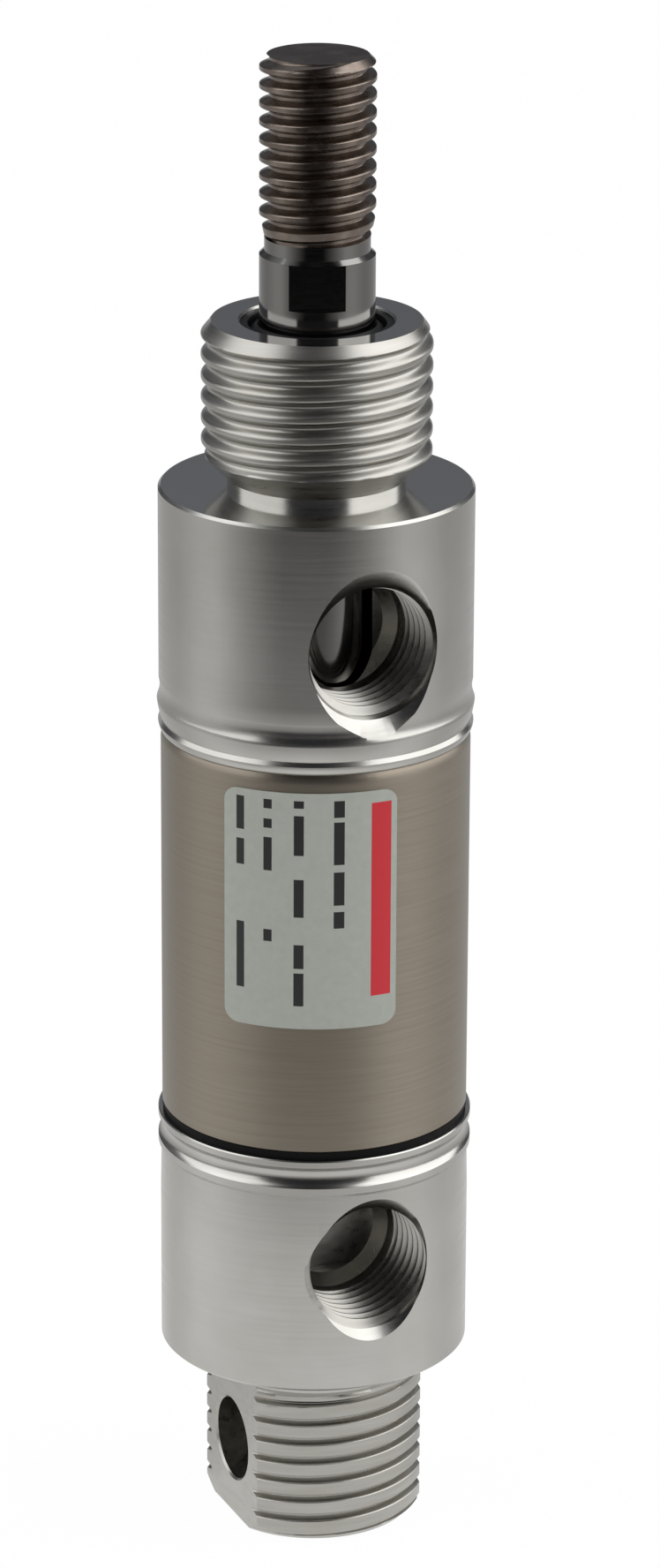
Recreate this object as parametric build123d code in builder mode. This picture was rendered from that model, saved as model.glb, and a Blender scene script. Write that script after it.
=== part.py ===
from build123d import *
import os
from math import cos, pi, radians, sin

os.makedirs("parts", exist_ok=True)

# Round body double-acting cylinder, 20 mm bore, millimetres.
# Z runs along the axis from the centre of the rear end face towards the rod.
# Both air ports face -Y and the pivot hole in the rear stub runs along X.

# Barrel
bore_radius = 10.0
barrel_wall = 0.87
barrel_lead_in = 0.3
barrel_rear_edge = 0.12
barrel_turn_in = 0.17
barrel_turn_in_length = 0.85
barrel_turn_in_roundness = 0.06

# Stroke and clearances
stroke = 10.0
stop_gap = 0.15
seat_clearance = 0.02
running_clearance = 0.03
ring_play = 0.1

# Covers
cover_step = 1.0
cover_edge = 0.2
spigot_lead_in = 0.4
rear_cover_height = 17.53
front_cover_height = 17.7
rear_spigot_length = 4.22
front_spigot_length = 4.3
rear_lip_height = 2.4
rear_lip_proud = 0.17
rear_lip_undercut = 0.06
rear_lip_undercut_height = 0.3
rear_lip_blend_height = 3.5
rear_lip_edge = 0.08
rear_bead_height = 0.5
rear_flange_height = 0.33
rear_groove_roundness = 0.38
front_lip_height = 1.75
front_lip_taper = 0.22
front_lip_roundness = 0.07
front_lip_crown = 0.06
front_lip_crown_height = 0.8
front_lip_notch = 0.15
front_lip_notch_height = 1.32
front_lip_swell = 0.09
front_lip_swell_height = 2.6
front_lip_blend_height = 4.2

# Air ports, G1/8 at tapping size
port_radius = 4.283
front_port_height = 8.5
rear_port_height = 9.05
front_port_chamfer = 1.72
rear_port_chamfer = 1.12
countersink_angle = 90.0
front_port_overlap = 0.9
rear_port_web = 2.7
port_floor_bevel = 0.8
air_passage_radius = 1.3
air_passage_margin = 0.2

# Rear stub, M16 at its crests
stub_radius = 8.0
stub_length = 13.35
stub_chamfer = 0.8
stub_neck_depth = 0.2
stub_neck_length = 1.6
stub_flat_depth = 1.6
pivot_hole_radius = 3.0
pivot_hole_height = 5.75
pivot_hole_chamfer = 0.15

# Front nose, M16 at its crests
nose_radius = 8.0
nose_length = 11.7
nose_chamfer = 0.7
nose_chamfer_height = 0.9
nose_neck_depth = 1.8
nose_neck_length = 0.6

# Piston rod, M8 at its crests
rod_radius = 4.0
rod_reach = 18.45
rod_thread_length = 12.3
rod_chamfer = 0.5
rod_relief_depth = 0.35
rod_relief_length = 1.5
rod_relief_slope = 0.3
rod_flat_depth = 0.5
rod_flat_length = 3.2
rod_flat_turn = -23.0
rod_shoulder = 1.5
tenon_reach = 0.55
tenon_chamfer = 0.4

# Rod bush and rod seal
bush_wall = 1.0
bush_length = 9.6
bush_chamfer = 0.25
seal_width = 1.3
seal_length = 4.15
seal_recess = 0.25
seal_shell_width = 0.5
seal_relief = 0.45
seal_taper = 0.1
wiper_lip_height = 1.5
wiper_lip_edge = 0.12
wiper_groove_depth = 0.45
rod_lip_height = 1.4
rod_lip_edge = 0.5
rod_groove_depth = 0.9
rod_bore_gap = 0.5

# O-rings
cover_ring_depth = 1.1
cover_ring_groove_width = 1.6
rod_ring_depth = 0.9
gasket_thickness = 0.7
gasket_recess = 0.05

# Buffers
buffer_thickness = 1.6
buffer_proud = 0.8
buffer_margin = 1.6
front_buffer_gap = 0.9
rear_buffer_gap = 0.3
buffer_edge = 0.25

# Piston
piston_gap = 0.3
piston_land = 0.7
piston_web = 0.6
seal_groove_width = 1.9
seal_groove_depth = 2.1
lip_seal_width = 1.7
lip_seal_notch = 0.9
lip_seal_heel = 0.25
lip_seal_edge = 0.3
lip_seal_tip = 0.15
magnet_width = 1.8
magnet_gap = 0.27
hub_wall = 3.0
guide_ring_thickness = 1.3

# Piston nut and washer
nut_across_flats = 8.0
nut_thickness = 2.7
nut_chamfer = 0.3
washer_radius = 4.6
washer_thickness = 0.8
nut_chamber_gap = 1.4
nut_chamber_margin = 1.1

# Label
label_thickness = 0.08
label_arc_length = 12.6
label_height = 17.3
label_corner = 1.0
label_below_cover = 1.27
label_turn = -25.0

# Radii worked out from the bore, the threads and the rod
barrel_radius = bore_radius + barrel_wall
spigot_radius = bore_radius - seat_clearance
cover_radius = bore_radius + cover_step
rear_lip_radius = cover_radius + rear_lip_proud
gasket_radius = barrel_radius - gasket_recess
front_lip_end_radius = cover_radius - front_lip_taper
front_crown_radius = cover_radius + front_lip_crown
front_swell_radius = cover_radius + front_lip_swell
stub_neck_radius = stub_radius - stub_neck_depth
nose_neck_radius = nose_radius - nose_neck_depth
rod_bore_radius = rod_radius + rod_bore_gap
bush_bore_radius = rod_radius + running_clearance
bush_radius = bush_bore_radius + bush_wall
seal_seat_radius = rod_radius + seal_width
rod_relief_radius = rod_radius - rod_relief_depth
tenon_radius = rod_radius - rod_shoulder
tenon_bore = tenon_radius + seat_clearance
piston_radius = bore_radius - piston_gap
seal_groove_radius = piston_radius - seal_groove_depth
guide_outer_radius = bore_radius - running_clearance
guide_inner_radius = guide_outer_radius - guide_ring_thickness
magnet_outer_radius = guide_inner_radius - magnet_gap
hub_radius = tenon_radius + hub_wall
nut_corner_radius = nut_across_flats / 2 / cos(pi / 6)
nut_chamber_radius = nut_corner_radius + nut_chamber_gap
buffer_outer_radius = bore_radius - buffer_margin
front_port_web = rod_bore_radius - front_port_overlap

# Heights worked out along the axis
rear_shoulder_z = stub_length + rear_cover_height
barrel_start_z = rear_shoulder_z + gasket_thickness
rear_spigot_z = rear_shoulder_z + rear_spigot_length
piston_length = 2 * (piston_land + seal_groove_width + piston_web) + magnet_width
piston_start_z = rear_spigot_z + buffer_proud + stop_gap
piston_end_z = piston_start_z + piston_length
front_spigot_z = piston_end_z + stroke + stop_gap + buffer_proud
barrel_end_z = front_spigot_z + front_spigot_length
front_shoulder_z = barrel_end_z + front_cover_height
nose_end_z = front_shoulder_z + nose_length
rod_end_z = nose_end_z + rod_reach
rear_port_z = stub_length + rear_port_height
front_port_z = barrel_end_z + front_port_height
seal_seat_z = nose_end_z - seal_recess - seal_length
bush_seat_z = seal_seat_z - seat_clearance - bush_length
nut_start_z = piston_start_z - washer_thickness - nut_thickness
tenon_end_z = nut_start_z - tenon_reach
nut_chamber_z = tenon_end_z - nut_chamber_margin


# Profile of an O-ring that fills a groove between two radii
def ring_section(inner_radius, outer_radius, height):
    middle_radius = (inner_radius + outer_radius) / 2
    cord_radius = (outer_radius - inner_radius) / 2 - seat_clearance / 2
    with Locations((middle_radius, height)):
        Circle(cord_radius)


# Threaded port: countersink, tapping bore and a drilled floor with a bevelled corner
def air_port(height, chamfer_width, web):
    mouth = Plane(origin=(0, -cover_radius, height), x_dir=(1, 0, 0), z_dir=(0, -1, 0))
    wall_depth = cover_radius - web - port_floor_bevel
    with Locations(mouth):
        CounterSinkHole(port_radius, port_radius + chamfer_width, wall_depth, countersink_angle)
    with Locations(mouth.offset(-wall_depth)):
        Cone(port_radius - port_floor_bevel, port_radius, port_floor_bevel,
             align=(Align.CENTER, Align.CENTER, Align.MAX), mode=Mode.SUBTRACT)


# Rear cover: threaded stub, port body, grooved lip and spigot in one turned piece
lip_start_z = rear_shoulder_z - rear_lip_height
rear_ring_z = barrel_start_z + (rear_spigot_z - barrel_start_z) / 2
with BuildPart() as rear_cover:
    with BuildSketch(Plane.XZ):
        with BuildLine():
            Polyline(
                (0, 0),
                (stub_radius - stub_chamfer, 0),
                (stub_radius, stub_chamfer),
                (stub_radius, stub_length - stub_neck_length - stub_neck_depth),
                (stub_neck_radius, stub_length - stub_neck_length),
                (stub_neck_radius, stub_length),
                (cover_radius - cover_edge, stub_length),
                (cover_radius, stub_length + cover_edge),
                (cover_radius, lip_start_z - rear_lip_blend_height),
                (cover_radius - rear_lip_undercut, lip_start_z - rear_lip_undercut_height),
                (rear_lip_radius, lip_start_z),
                (rear_lip_radius, lip_start_z + rear_bead_height),
            )
            SagittaArc(
                (rear_lip_radius, lip_start_z + rear_bead_height),
                (rear_lip_radius, rear_shoulder_z - rear_flange_height),
                rear_groove_roundness,
            )
            Polyline(
                (rear_lip_radius, rear_shoulder_z - rear_flange_height),
                (rear_lip_radius, rear_shoulder_z - rear_lip_edge),
                (rear_lip_radius - rear_lip_edge, rear_shoulder_z),
                (spigot_radius, rear_shoulder_z),
                (spigot_radius, rear_spigot_z - spigot_lead_in),
                (spigot_radius - spigot_lead_in, rear_spigot_z),
                (0, rear_spigot_z),
                (0, 0),
            )
        make_face()
    revolve(axis=Axis.Z)
    # groove for the cover's O-ring
    with BuildSketch(Plane.XZ):
        with Locations((spigot_radius - cover_ring_depth / 2, rear_ring_z)):
            Rectangle(cover_ring_depth + 2 * seat_clearance, cover_ring_groove_width)
    revolve(axis=Axis.Z, mode=Mode.SUBTRACT)
    # seat of the rear buffer and the chamber that clears the piston nut
    with Locations(Location((0, 0, rear_spigot_z))):
        CounterBoreHole(nut_chamber_radius, buffer_outer_radius, buffer_thickness - buffer_proud,
                        rear_spigot_z - nut_chamber_z)
    # threaded port and the passage that leads from it to the chamber
    air_port(rear_port_z, rear_port_chamfer, rear_port_web)
    passage_y = -(rear_port_web + air_passage_radius + air_passage_margin)
    with Locations(Location((0, passage_y, nut_chamber_z))):
        Hole(air_passage_radius, depth=nut_chamber_z - rear_port_z)
    # pivot hole and the two flats milled across it
    with BuildSketch():
        for side in (-1, 1):
            with Locations((side * stub_radius, 0)):
                Rectangle(2 * stub_flat_depth, 2 * stub_radius)
    extrude(amount=stub_length, mode=Mode.SUBTRACT)
    with Locations(Plane(origin=(stub_radius - stub_flat_depth, 0, pivot_hole_height), z_dir=(1, 0, 0))):
        Hole(pivot_hole_radius, depth=2 * stub_radius)
    chamfer(rear_cover.edges(Select.LAST).filter_by(GeomType.CIRCLE), pivot_hole_chamfer)

# Front cover: nose, port body, rolled lip and spigot in one turned piece
front_ring_z = front_spigot_z + front_spigot_length / 2
with BuildPart() as front_cover:
    with BuildSketch(Plane.XZ):
        with BuildLine():
            Polyline(
                (0, front_spigot_z),
                (spigot_radius - spigot_lead_in, front_spigot_z),
                (spigot_radius, front_spigot_z + spigot_lead_in),
                (spigot_radius, barrel_end_z),
                (front_lip_end_radius, barrel_end_z),
            )
            SagittaArc(
                (front_lip_end_radius, barrel_end_z),
                (front_crown_radius, barrel_end_z + front_lip_crown_height),
                -front_lip_roundness,
            )
            Polyline(
                (front_crown_radius, barrel_end_z + front_lip_crown_height),
                (cover_radius - front_lip_notch, barrel_end_z + front_lip_notch_height),
                (front_swell_radius, barrel_end_z + front_lip_height),
                (front_swell_radius, barrel_end_z + front_lip_swell_height),
                (cover_radius, barrel_end_z + front_lip_blend_height),
                (cover_radius, front_shoulder_z - cover_edge),
                (cover_radius - cover_edge, front_shoulder_z),
                (nose_neck_radius, front_shoulder_z),
                (nose_neck_radius, front_shoulder_z + nose_neck_length),
                (nose_radius, front_shoulder_z + nose_neck_length + nose_neck_depth),
                (nose_radius, nose_end_z - nose_chamfer_height),
                (nose_radius - nose_chamfer, nose_end_z),
                (0, nose_end_z),
                (0, front_spigot_z),
            )
        make_face()
    revolve(axis=Axis.Z)
    # groove for the cover's O-ring
    with BuildSketch(Plane.XZ):
        with Locations((spigot_radius - cover_ring_depth / 2, front_ring_z)):
            Rectangle(cover_ring_depth + 2 * seat_clearance, cover_ring_groove_width)
    revolve(axis=Axis.Z, mode=Mode.SUBTRACT)
    # rod bore, bush bore and seal seat, turned from the nose
    with Locations(Location((0, 0, nose_end_z))):
        CounterBoreHole(rod_bore_radius, seal_seat_radius, nose_end_z - seal_seat_z,
                        nose_end_z - front_spigot_z)
    with Locations(Location((0, 0, seal_seat_z))):
        CounterBoreHole(rod_bore_radius, bush_radius, seal_seat_z - bush_seat_z, seal_seat_z - front_spigot_z)
    # seat of the front buffer
    with BuildSketch(Plane.XY.offset(front_spigot_z)):
        Circle(buffer_outer_radius)
    extrude(amount=buffer_thickness - buffer_proud, mode=Mode.SUBTRACT)
    # threaded port
    air_port(front_port_z, front_port_chamfer, front_port_web)

# Barrel, its front end rolled slightly inwards over the spigot
turn_in_z = barrel_end_z - barrel_turn_in_length
with BuildPart() as barrel:
    with BuildSketch(Plane.XZ):
        with BuildLine():
            Polyline(
                (barrel_radius - barrel_turn_in, barrel_end_z),
                (bore_radius, barrel_end_z),
                (bore_radius, barrel_start_z + barrel_lead_in),
                (bore_radius + barrel_lead_in, barrel_start_z),
                (barrel_radius - barrel_rear_edge, barrel_start_z),
                (barrel_radius, barrel_start_z + barrel_rear_edge),
                (barrel_radius, turn_in_z),
            )
            SagittaArc(
                (barrel_radius, turn_in_z),
                (barrel_radius - barrel_turn_in, barrel_end_z),
                -barrel_turn_in_roundness,
            )
        make_face()
    revolve(axis=Axis.Z)

# Gasket between the rear cover and the barrel
with BuildPart() as rear_gasket:
    with BuildSketch(Plane.XY.offset(rear_shoulder_z)):
        Circle(gasket_radius)
        Circle(bore_radius, mode=Mode.SUBTRACT)
    extrude(amount=gasket_thickness)

# O-rings on the two spigots
groove_bottom = spigot_radius - cover_ring_depth - seat_clearance
with BuildPart() as rear_cover_ring:
    with BuildSketch(Plane.XZ):
        ring_section(groove_bottom, bore_radius, rear_ring_z)
    revolve(axis=Axis.Z)
with BuildPart() as front_cover_ring:
    with BuildSketch(Plane.XZ):
        ring_section(groove_bottom, bore_radius, front_ring_z)
    revolve(axis=Axis.Z)

# Bush that guides the rod
with BuildPart() as rod_bush:
    with BuildSketch(Plane.XY.offset(bush_seat_z)):
        Circle(bush_radius)
        Circle(bush_bore_radius, mode=Mode.SUBTRACT)
    extrude(amount=bush_length)
    chamfer(rod_bush.edges().filter_by(GeomType.CIRCLE), bush_chamfer)

# Rod seal: an outer shell with a wiping lip above and a sealing lip below
shell_radius = seal_seat_radius - seal_shell_width
seal_end_z = seal_seat_z + seal_length
with BuildPart() as rod_seal:
    with BuildSketch(Plane.XZ):
        with BuildLine():
            Polyline(
                (seal_seat_radius, seal_seat_z),
                (seal_seat_radius, seal_end_z),
                (shell_radius, seal_end_z),
                (shell_radius - seal_taper, seal_end_z - wiper_groove_depth),
                (bush_bore_radius + wiper_lip_edge, seal_end_z),
                (bush_bore_radius, seal_end_z - wiper_lip_edge),
                (bush_bore_radius + seal_relief, seal_end_z - wiper_lip_height),
                (bush_bore_radius + seal_relief, seal_seat_z + rod_lip_height),
                (bush_bore_radius, seal_seat_z + rod_lip_edge),
                (bush_bore_radius + seal_taper, seal_seat_z),
                (shell_radius - 2 * seal_taper, seal_seat_z + rod_groove_depth),
                (shell_radius, seal_seat_z),
                close=True,
            )
        make_face()
    revolve(axis=Axis.Z)

# Buffers on the two covers
with BuildPart() as rear_buffer:
    with BuildSketch(Plane.XY.offset(rear_spigot_z + buffer_proud - buffer_thickness)):
        Circle(buffer_outer_radius)
        Circle(nut_chamber_radius + rear_buffer_gap, mode=Mode.SUBTRACT)
    extrude(amount=buffer_thickness)
    chamfer(rear_buffer.faces().sort_by(Axis.Z)[-1].edges(), buffer_edge)
with BuildPart() as front_buffer:
    with BuildSketch(Plane.XY.offset(front_spigot_z - buffer_proud)):
        Circle(buffer_outer_radius)
        Circle(rod_radius + front_buffer_gap, mode=Mode.SUBTRACT)
    extrude(amount=buffer_thickness)
    chamfer(front_buffer.faces().sort_by(Axis.Z)[0].edges(), buffer_edge)

# Piston rod: tenon, polished shank, two wrench flats, relief and threaded end
relief_end_z = rod_end_z - rod_thread_length
relief_start_z = relief_end_z - rod_relief_length
with BuildPart() as piston_rod:
    with BuildSketch(Plane.XZ):
        with BuildLine():
            Polyline(
                (0, tenon_end_z),
                (tenon_radius - tenon_chamfer, tenon_end_z),
                (tenon_radius, tenon_end_z + tenon_chamfer),
                (tenon_radius, piston_end_z),
                (rod_radius, piston_end_z),
                (rod_radius, relief_start_z),
                (rod_relief_radius, relief_start_z + rod_relief_slope),
                (rod_relief_radius, relief_end_z - rod_relief_slope),
                (rod_radius, relief_end_z),
                (rod_radius, rod_end_z - rod_chamfer),
                (rod_radius - rod_chamfer, rod_end_z),
                (0, rod_end_z),
                close=True,
            )
        make_face()
    revolve(axis=Axis.Z)
    flat_plane = Plane.XY.offset(relief_start_z).rotated((0, 0, rod_flat_turn))
    with BuildSketch(flat_plane):
        for side in (-1, 1):
            with Locations((0, side * rod_radius)):
                Rectangle(2 * rod_radius, 2 * rod_flat_depth)
    extrude(amount=-rod_flat_length, mode=Mode.SUBTRACT)


# Half of a piston's outer profile, from its end face to its web
def half_piston(end_z, direction, inner_radius):
    groove_start = end_z + direction * piston_land
    groove_end = groove_start + direction * seal_groove_width
    web_end = groove_end + direction * piston_web
    Polyline(
        (inner_radius, end_z),
        (piston_radius, end_z),
        (piston_radius, groove_start),
        (seal_groove_radius, groove_start),
        (seal_groove_radius, groove_end),
        (piston_radius, groove_end),
        (piston_radius, web_end),
    )
    return web_end


with BuildPart() as piston_rear:
    with BuildSketch(Plane.XZ):
        with BuildLine():
            magnet_start_z = half_piston(piston_start_z, 1, tenon_bore)
            magnet_end_z = magnet_start_z + magnet_width
            Polyline(
                (piston_radius, magnet_start_z),
                (hub_radius, magnet_start_z),
                (hub_radius, magnet_end_z),
                (tenon_bore, magnet_end_z),
                (tenon_bore, piston_start_z),
            )
        make_face()
    revolve(axis=Axis.Z)
with BuildPart() as piston_front:
    with BuildSketch(Plane.XZ):
        with BuildLine():
            half_piston(piston_end_z, -1, tenon_bore)
            Polyline(
                (piston_radius, magnet_end_z),
                (tenon_bore, magnet_end_z),
                (tenon_bore, piston_end_z),
            )
        make_face()
    revolve(axis=Axis.Z)
    with BuildSketch(Plane.XY.offset(piston_end_z)):
        Circle(tenon_radius + rod_ring_depth)
    extrude(amount=-rod_ring_depth, mode=Mode.SUBTRACT)

# O-ring under the rod's shoulder
with BuildPart() as rod_ring:
    with BuildSketch(Plane.XZ):
        ring_section(tenon_radius, tenon_radius + rod_ring_depth, piston_end_z - rod_ring_depth / 2)
    revolve(axis=Axis.Z)

# Magnet ring around the hub
with BuildPart() as magnet_ring:
    with BuildSketch(Plane.XY.offset(magnet_start_z)):
        Circle(magnet_outer_radius)
        Circle(hub_radius + seat_clearance, mode=Mode.SUBTRACT)
    extrude(amount=magnet_width)

# Guide ring, free in the gap between the webs
with BuildPart() as guide_ring:
    with BuildSketch(Plane.XY.offset(magnet_start_z + ring_play)):
        Circle(guide_outer_radius)
        Circle(guide_inner_radius, mode=Mode.SUBTRACT)
    extrude(amount=magnet_width - 2 * ring_play)


# Lip seal: its notch opens towards the pressure side
def lip_seal_profile(back_z, direction):
    inner = seal_groove_radius + seat_clearance
    outer = guide_outer_radius
    middle = (inner + outer) / 2
    front = back_z + direction * lip_seal_width
    Polyline(
        (inner, back_z),
        (outer - lip_seal_heel, back_z),
        (outer, front - direction * lip_seal_edge),
        (outer - lip_seal_tip, front),
        (middle, front - direction * lip_seal_notch),
        (inner + lip_seal_tip, front),
        (inner, front - direction * lip_seal_edge),
        close=True,
    )


with BuildPart() as rear_piston_seal:
    with BuildSketch(Plane.XZ):
        with BuildLine():
            lip_seal_profile(piston_start_z + piston_land + seal_groove_width, -1)
        make_face()
    revolve(axis=Axis.Z)
with BuildPart() as front_piston_seal:
    with BuildSketch(Plane.XZ):
        with BuildLine():
            lip_seal_profile(piston_end_z - piston_land - seal_groove_width, 1)
        make_face()
    revolve(axis=Axis.Z)

# Washer and nut on the tenon
with BuildPart() as lock_washer:
    with BuildSketch(Plane.XY.offset(piston_start_z - washer_thickness)):
        Circle(washer_radius)
        Circle(tenon_bore, mode=Mode.SUBTRACT)
    extrude(amount=washer_thickness)
with BuildPart() as piston_nut:
    with BuildSketch(Plane.XY.offset(nut_start_z)):
        RegularPolygon(nut_across_flats / 2, 6, major_radius=False)
        Circle(tenon_bore, mode=Mode.SUBTRACT)
    extrude(amount=nut_thickness)
    # turned chamfer on the nut's corners
    with BuildSketch(Plane.XZ):
        with BuildLine():
            Polyline(
                (nut_corner_radius - nut_chamfer, nut_start_z),
                (nut_corner_radius + nut_chamfer, nut_start_z),
                (nut_corner_radius + nut_chamfer, nut_start_z + nut_chamfer),
                close=True,
            )
        make_face()
    revolve(axis=Axis.Z, mode=Mode.SUBTRACT)

# Label, a thin skin on the barrel with rounded corners
label_z = barrel_end_z - label_below_cover - label_height / 2
half_chord = barrel_radius * sin(label_arc_length / barrel_radius / 2)
label_outer = barrel_radius + label_thickness
with BuildPart() as label:
    with BuildSketch(Plane.XY.offset(label_z - label_height / 2)):
        Circle(label_outer)
        Circle(barrel_radius, mode=Mode.SUBTRACT)
    extrude(amount=label_height)
    label_plane = Plane(
        origin=(0, 0, label_z),
        x_dir=(cos(radians(label_turn)), sin(radians(label_turn)), 0),
        z_dir=(sin(radians(label_turn)), -cos(radians(label_turn)), 0),
    )
    with BuildSketch(label_plane):
        RectangleRounded(2 * half_chord, label_height, label_corner)
    extrude(amount=2 * label_outer, mode=Mode.INTERSECT)

pieces = {
    "rear_cover": rear_cover,
    "front_cover": front_cover,
    "barrel": barrel,
    "rear_gasket": rear_gasket,
    "rear_cover_ring": rear_cover_ring,
    "front_cover_ring": front_cover_ring,
    "rod_bush": rod_bush,
    "rod_seal": rod_seal,
    "rear_buffer": rear_buffer,
    "front_buffer": front_buffer,
    "piston_rod": piston_rod,
    "piston_rear": piston_rear,
    "piston_front": piston_front,
    "rod_ring": rod_ring,
    "magnet_ring": magnet_ring,
    "guide_ring": guide_ring,
    "rear_piston_seal": rear_piston_seal,
    "front_piston_seal": front_piston_seal,
    "lock_washer": lock_washer,
    "piston_nut": piston_nut,
    "label": label,
}
for name, piece in pieces.items():
    piece.part.label = name
    export_step(piece.part, f"parts/{name}.step")
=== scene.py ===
import math

import bmesh
import bpy
import numpy as np
from mathutils import Matrix, Vector


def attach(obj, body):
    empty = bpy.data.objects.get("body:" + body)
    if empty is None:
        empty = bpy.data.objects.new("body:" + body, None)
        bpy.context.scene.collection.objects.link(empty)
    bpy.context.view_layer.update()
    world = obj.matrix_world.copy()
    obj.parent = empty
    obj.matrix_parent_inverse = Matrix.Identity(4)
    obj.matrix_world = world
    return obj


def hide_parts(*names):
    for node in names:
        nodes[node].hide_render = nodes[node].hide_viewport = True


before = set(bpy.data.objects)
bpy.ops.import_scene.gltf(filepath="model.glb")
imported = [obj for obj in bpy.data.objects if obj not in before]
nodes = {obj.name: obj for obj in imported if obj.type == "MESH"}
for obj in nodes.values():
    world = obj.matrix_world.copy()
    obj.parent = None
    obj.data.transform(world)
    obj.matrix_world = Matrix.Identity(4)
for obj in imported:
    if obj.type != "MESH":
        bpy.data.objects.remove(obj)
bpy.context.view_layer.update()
mm = 0.001

# Camera: a long lens from a little above, turned 23 degrees to the side of the ports, so that
# the whole cylinder stands nearly free of perspective.
camera_turn = math.radians(-23.0)
camera_rise = math.radians(19.24)
camera_distance = 430 * mm
camera_target = Vector((0, 0, 55.15 * mm))
camera_roll = math.radians(0.22)
lens_pixels = 6926
frame_pixels = 1776
offset_pixels = 16.5

to_camera = Vector((
    math.sin(camera_turn) * math.cos(camera_rise),
    -math.cos(camera_turn) * math.cos(camera_rise),
    math.sin(camera_rise),
))
camera = bpy.data.objects.new("camera", bpy.data.cameras.new("camera"))
camera.data.lens = camera.data.sensor_width * lens_pixels / frame_pixels
camera.data.shift_x = offset_pixels / frame_pixels
camera.location = camera_target + camera_distance * to_camera
camera.rotation_euler = (
    to_camera.to_track_quat("Z", "Y").to_matrix() @ Matrix.Rotation(camera_roll, 3, "Z")
).to_euler()
bpy.context.scene.collection.objects.link(camera)
bpy.context.scene.camera = camera
bpy.context.scene.view_settings.view_transform = "Standard"


# Studio: a white floor, a tall soft box at each side, and a dim room that gets paler high up
# and is dark overhead. A black cloth with soft edges lies round the camera's side of the
# cylinder. Only gloss sees it, and it gives the polished metal its dark lines.
floor_half_size = 4.0
floor_white_share = 0.97
cloth_half_size = 2.0
cloth_height = 1 * mm
cloth_reach = 0.3
cloth_cover = ((0.18, 0.03), (0.33, 0.5), (0.63, 0.66))
cloth_side_cover = 0.3
cloth_back_cover = 0.2
cloth_back = (0.1, -0.35)
dark_turn = camera_turn - math.radians(6)
dark_front = (0.35, 0.95)
room_tones = (
    (0.0, "b0b4b8"), (0.03, "505155"), (0.18, "505155"), (0.3, "6b6c70"), (0.5, "6b6c70"),
    (0.7, "b0b4b8"), (0.86, "b0b4b8"), (0.95, "1c1c1d"),
)


def colour(code):
    """Linear colour with alpha from an sRGB hex code. Each channel c becomes
    ((c + 0.055) / 1.055) ** 2.4, or c / 12.92 where it is under 0.04045."""
    channels = np.array([int(code[i:i + 2], 16) for i in (0, 2, 4)]) / 255
    linear = np.where(channels < 0.04045, channels / 12.92, ((channels + 0.055) / 1.055) ** 2.4)
    return (*linear.tolist(), 1.0)


def add(tree, kind, inputs=None, **settings):
    """Adds one node. settings are its properties, and inputs its sockets, each a value or a
    socket to link."""
    node = tree.nodes.new("ShaderNode" + kind)
    for key, value in settings.items():
        setattr(node, key, value)
    for key, value in (inputs or {}).items():
        if isinstance(value, bpy.types.NodeSocket):
            tree.links.new(value, node.inputs[key])
        else:
            node.inputs[key].default_value = value
    return node


def level_square(name, half_size, height, material):
    """Level square about the z axis, whose corners are half_size times the four sign changes."""
    corners = np.array([(-1, -1, 0), (1, -1, 0), (1, 1, 0), (-1, 1, 0)]) * half_size
    mesh = bpy.data.meshes.new(name)
    mesh.from_pydata((corners + (0, 0, height)).tolist(), [], [(0, 1, 2, 3)])
    mesh.materials.append(material)
    square = bpy.data.objects.new(name, mesh)
    bpy.context.scene.collection.objects.link(square)
    return square


floor_material = bpy.data.materials.new("white_floor")
floor_material.use_nodes = True
tree = floor_material.node_tree
tree.nodes.clear()
ray = add(tree, "LightPath")
seen_in_gloss = add(
    tree, "Math", {0: ray.outputs["Is Glossy Ray"], 1: ray.outputs["Is Transmission Ray"]},
    operation="MAXIMUM",
)
seen = add(
    tree, "Math", {0: ray.outputs["Is Camera Ray"], 1: seen_in_gloss.outputs[0]},
    operation="MAXIMUM",
)
white_share = add(
    tree, "Math", {0: seen.outputs[0], 1: floor_white_share}, operation="MULTIPLY",
)
paint = add(tree, "BsdfDiffuse", {"Color": colour("f0f0f0")})
glow = add(tree, "Emission", {"Color": colour("ffffff"), "Strength": 1.0})
surface = add(
    tree, "MixShader", {0: white_share.outputs[0], 1: paint.outputs[0], 2: glow.outputs[0]},
)
add(tree, "OutputMaterial", {"Surface": surface.outputs[0]})
floor = level_square("floor", floor_half_size, 0.0, floor_material)

# The room's tones go by the height of a ray's aim, from the horizon at 0 to overhead at 1. To
# the front, where the cloth is, the room is dark.
to_front = (math.sin(dark_turn), -math.cos(dark_turn), 0.0)
world = bpy.data.worlds.new("dim_room")
world.use_nodes = True
tree = world.node_tree
tree.nodes.clear()
ray = add(tree, "LightPath")
direction = add(tree, "TexCoord").outputs["Generated"]
aim = add(tree, "SeparateXYZ", {0: direction})
level = add(tree, "VectorMath", {0: direction, 1: (1, 1, 0)}, operation="MULTIPLY")
heading = add(tree, "VectorMath", {0: level.outputs[0]}, operation="NORMALIZE")
front = add(tree, "VectorMath", {0: heading.outputs[0], 1: to_front}, operation="DOT_PRODUCT")
dark = add(tree, "MapRange", {
    "Value": front.outputs["Value"], "From Min": dark_front[0], "From Max": dark_front[1],
})
haze = add(tree, "ValToRGB", {0: aim.outputs["Z"]})
for height, code in room_tones:
    haze.color_ramp.elements.new(height).color = colour(code)
haze.color_ramp.elements.remove(haze.color_ramp.elements[0])
haze.color_ramp.elements[-1].color = colour(room_tones[-1][1])
room_seen = add(tree, "MixRGB", {0: dark.outputs[0], 1: haze.outputs[0], 2: colour("303033")})
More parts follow.
